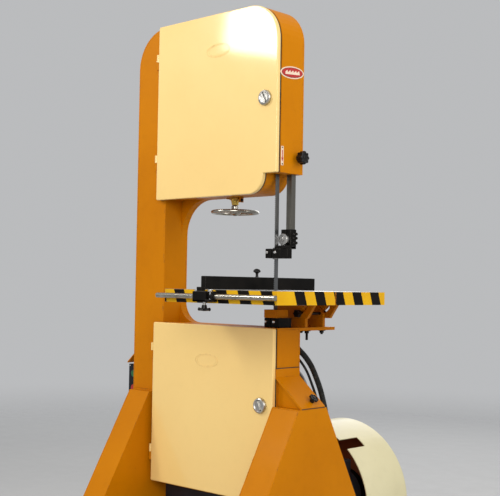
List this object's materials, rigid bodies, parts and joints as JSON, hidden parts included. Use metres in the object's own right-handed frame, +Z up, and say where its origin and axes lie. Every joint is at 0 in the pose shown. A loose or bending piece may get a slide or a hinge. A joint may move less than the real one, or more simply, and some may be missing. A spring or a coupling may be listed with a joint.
{
  "type": "band saw",
  "caption": "Floor-standing vertical band saw with a C-shaped sheet steel frame, two hinged wheel doors, splayed legs, a tilting striped table, a rip fence and a rear belt drive",
  "frame": {"origin": "centre of the bounding box's footprint, on the floor", "axes": "+Z up, -Y towards the operator and the doors, +X from the column to the blade"},
  "size_m": [0.927, 1.019, 1.912],
  "materials": {
    "frame_paint": "semi-gloss orange enamel on folded sheet steel",
    "door_paint": "gloss cream-yellow enamel on pressed sheet steel",
    "guard_paint": "satin cream enamel",
    "black_iron": "black enamelled casting",
    "black_sheet": "satin black enamel on sheet steel",
    "black_plastic": "moulded black phenolic",
    "raw_iron": "machined grey cast iron",
    "bright_steel": "ground steel bar",
    "bright_chrome": "chrome plate",
    "blade_steel": "blued spring steel strip",
    "brass": "turned brass",
    "rubber": "black rubber",
    "motor_paint": "grey motor enamel on a finned casting",
    "cable_sheath": "black flexible sheath",
    "insert_metal": "turned aluminium",
    "green_plastic": "green push button",
    "red_plastic": "red push button"
  },
  "bodies": {
    "frame": {"back_plate": "frame_paint", "outer_wrap": "frame_paint", "throat_wrap": "frame_paint", "base_wrap": "frame_paint", "column_front": "frame_paint", "sawdust_chute": "black_sheet", "left_leg": "frame_paint", "right_leg": "frame_paint", "right_leg_cap": "frame_paint", "lower_blade_guard": "frame_paint", "lower_bearing_housing": "raw_iron", "saw_blade": "blade_steel", "tension_bush": "brass", "post_sleeve": "raw_iron", "lower_guide_block": "black_iron", "table_bracket": "frame_paint", "motor_body": "motor_paint", "terminal_box": "motor_paint", "front_belt": "rubber", "rear_belt": "rubber", "motor_bracket": "frame_paint", "drum_guard": "guard_paint", "junction_box": "black_plastic", "motor_conduit": "cable_sheath", "motor_lead": "cable_sheath", "switch_hood": "frame_paint", "switch_box": "black_sheet"},
    "upper_door": {"upper_door": "door_paint"},
    "lower_door": {"lower_door": "door_paint"},
    "upper_lock": {"upper_lock": "bright_chrome"},
    "lower_lock": {"lower_lock": "bright_chrome"},
    "tension_carriage": {"tension_slide": "raw_iron", "upper_axle": "bright_steel"},
    "upper_wheel": {"upper_wheel": "raw_iron", "upper_tyre": "rubber"},
    "tension_handwheel": {"tension_handwheel": "bright_chrome"},
    "lower_wheel": {"lower_wheel": "raw_iron", "lower_tyre": "rubber", "lower_shaft": "bright_steel", "driven_pulley": "raw_iron"},
    "motor_pulley": {"motor_pulley": "raw_iron"},
    "guide_post": {"guide_post": "bright_steel", "upper_guide_bracket": "black_iron", "upper_guide_block": "black_iron"},
    "upper_thrust_roller": {"upper_thrust_roller": "bright_steel"},
    "post_lock_knob": {"post_lock_knob": "black_plastic"},
    "leg_cap_knob": {"leg_cap_knob": "black_plastic"},
    "lower_thrust_roller": {"lower_thrust_roller": "bright_steel"},
    "table": {"table_top": "frame_paint", "table_insert": "insert_metal", "table_trunnion": "frame_paint", "fence_rail": "bright_chrome"},
    "tilt_lock": {"tilt_lock": "black_plastic"},
    "fence": {"fence_bar": "black_iron", "fence_clamp": "black_iron"},
    "fence_lock_knob": {"fence_lock_knob": "black_plastic"},
    "fence_top_knob": {"fence_top_knob": "black_plastic"},
    "start_button": {"start_button": "green_plastic"},
    "stop_button": {"stop_button": "red_plastic"}
  },
  "joints": [
    {"name": "upper_door_hinge", "type": "hinge", "parent": "frame", "child": "upper_door", "pos_m": [-0.292, -0.1295, 1.616], "axis": [0, 0, -1], "range_deg": [0, 110]},
    {"name": "lower_door_hinge", "type": "hinge", "parent": "frame", "child": "lower_door", "pos_m": [-0.292, -0.1295, 0.625], "axis": [0, 0, -1], "range_deg": [0, 88]},
    {"name": "upper_lock_turn", "type": "hinge", "parent": "upper_door", "child": "upper_lock", "pos_m": [0.2185, -0.1345, 1.61], "axis": [0, 1, 0], "range_deg": [0, 90]},
    {"name": "lower_lock_turn", "type": "hinge", "parent": "lower_door", "child": "lower_lock", "pos_m": [0.2185, -0.1345, 0.655], "axis": [0, 1, 0], "range_deg": [0, 90]},
    {"name": "handwheel_turn", "type": "hinge", "parent": "frame", "child": "tension_handwheel", "pos_m": [-0.0105, -0.0255, 1.267], "axis": [0, 0, 1], "range_deg": [0, 1350]},
    {"name": "tension_slide", "type": "slide", "parent": "frame", "child": "tension_carriage", "axis": [0, 0, 1], "range_m": [-0.015, 0]},
    {"name": "upper_wheel_spin", "type": "hinge", "parent": "tension_carriage", "child": "upper_wheel", "pos_m": [-0.0345, -0.0715, 1.608], "axis": [0, 1, 0], "continuous": true},
    {"name": "lower_wheel_spin", "type": "hinge", "parent": "frame", "child": "lower_wheel", "pos_m": [-0.0345, -0.0715, 0.625], "axis": [0, 1, 0], "continuous": true},
    {"name": "motor_pulley_spin", "type": "hinge", "parent": "frame", "child": "motor_pulley", "pos_m": [0.0635, 0.1985, 0.285], "axis": [0, 1, 0], "continuous": true},
    {"name": "post_slide", "type": "slide", "parent": "frame", "child": "guide_post", "axis": [0, 0, 1], "range_m": [-0.095, 0.15]},
    {"name": "upper_roller_spin", "type": "hinge", "parent": "guide_post", "child": "upper_thrust_roller", "pos_m": [0.2335, -0.0545, 1.171], "axis": [0, 1, 0], "continuous": true},
    {"name": "lower_roller_spin", "type": "hinge", "parent": "frame", "child": "lower_thrust_roller", "pos_m": [0.2195, -0.0475, 0.9093], "axis": [1, 0, 0], "continuous": true},
    {"name": "post_lock_turn", "type": "hinge", "parent": "frame", "child": "post_lock_knob", "pos_m": [0.2675, -0.0345, 1.427], "axis": [1, 0, 0], "range_deg": [-360, 0]},
    {"name": "table_tilt", "type": "hinge", "parent": "frame", "child": "table", "pos_m": [0.2168, -0.0715, 1.01], "axis": [0, 1, 0], "range_deg": [0, 45]},
    {"name": "tilt_lock_turn", "type": "hinge", "parent": "frame", "child": "tilt_lock", "pos_m": [0.25187, -0.0115, 0.9381], "axis": [0, 1, 0], "range_deg": [-180, 0]},
    {"name": "leg_cap_knob_turn", "type": "hinge", "parent": "frame", "child": "leg_cap_knob", "pos_m": [0.3575, -0.0565, 0.67403], "axis": [0.6365, 0, 0.7713], "range_deg": [-360, 0]},
    {"name": "fence_slide", "type": "slide", "parent": "table", "child": "fence", "axis": [1, 0, 0], "range_m": [-0.14, 0]},
    {"name": "fence_lock_turn", "type": "hinge", "parent": "fence", "child": "fence_lock_knob", "pos_m": [0.1905, -0.3565, 0.974], "axis": [0, 0, 1], "range_deg": [0, 180]},
    {"name": "fence_top_knob_turn", "type": "hinge", "parent": "fence", "child": "fence_top_knob", "pos_m": [0.1615, -0.0985, 1.051], "axis": [0, 0, 1], "range_deg": [0, 360]},
    {"name": "start_press", "type": "slide", "parent": "frame", "child": "start_button", "axis": [0, 1, 0], "range_m": [0, 0.0025], "stiffness_N_per_m": 500},
    {"name": "stop_press", "type": "slide", "parent": "frame", "child": "stop_button", "axis": [0, 1, 0], "range_m": [0, 0.0025], "stiffness_N_per_m": 500}
  ],
  "couplings": [
    {"joint": "tension_slide", "follows": "handwheel_turn", "m_per_rad": -0.00063662},
    {"joint": "upper_wheel_spin", "follows": "lower_wheel_spin", "ratio": 1},
    {"joint": "motor_pulley_spin", "follows": "lower_wheel_spin", "ratio": 2.7872}
  ]
}
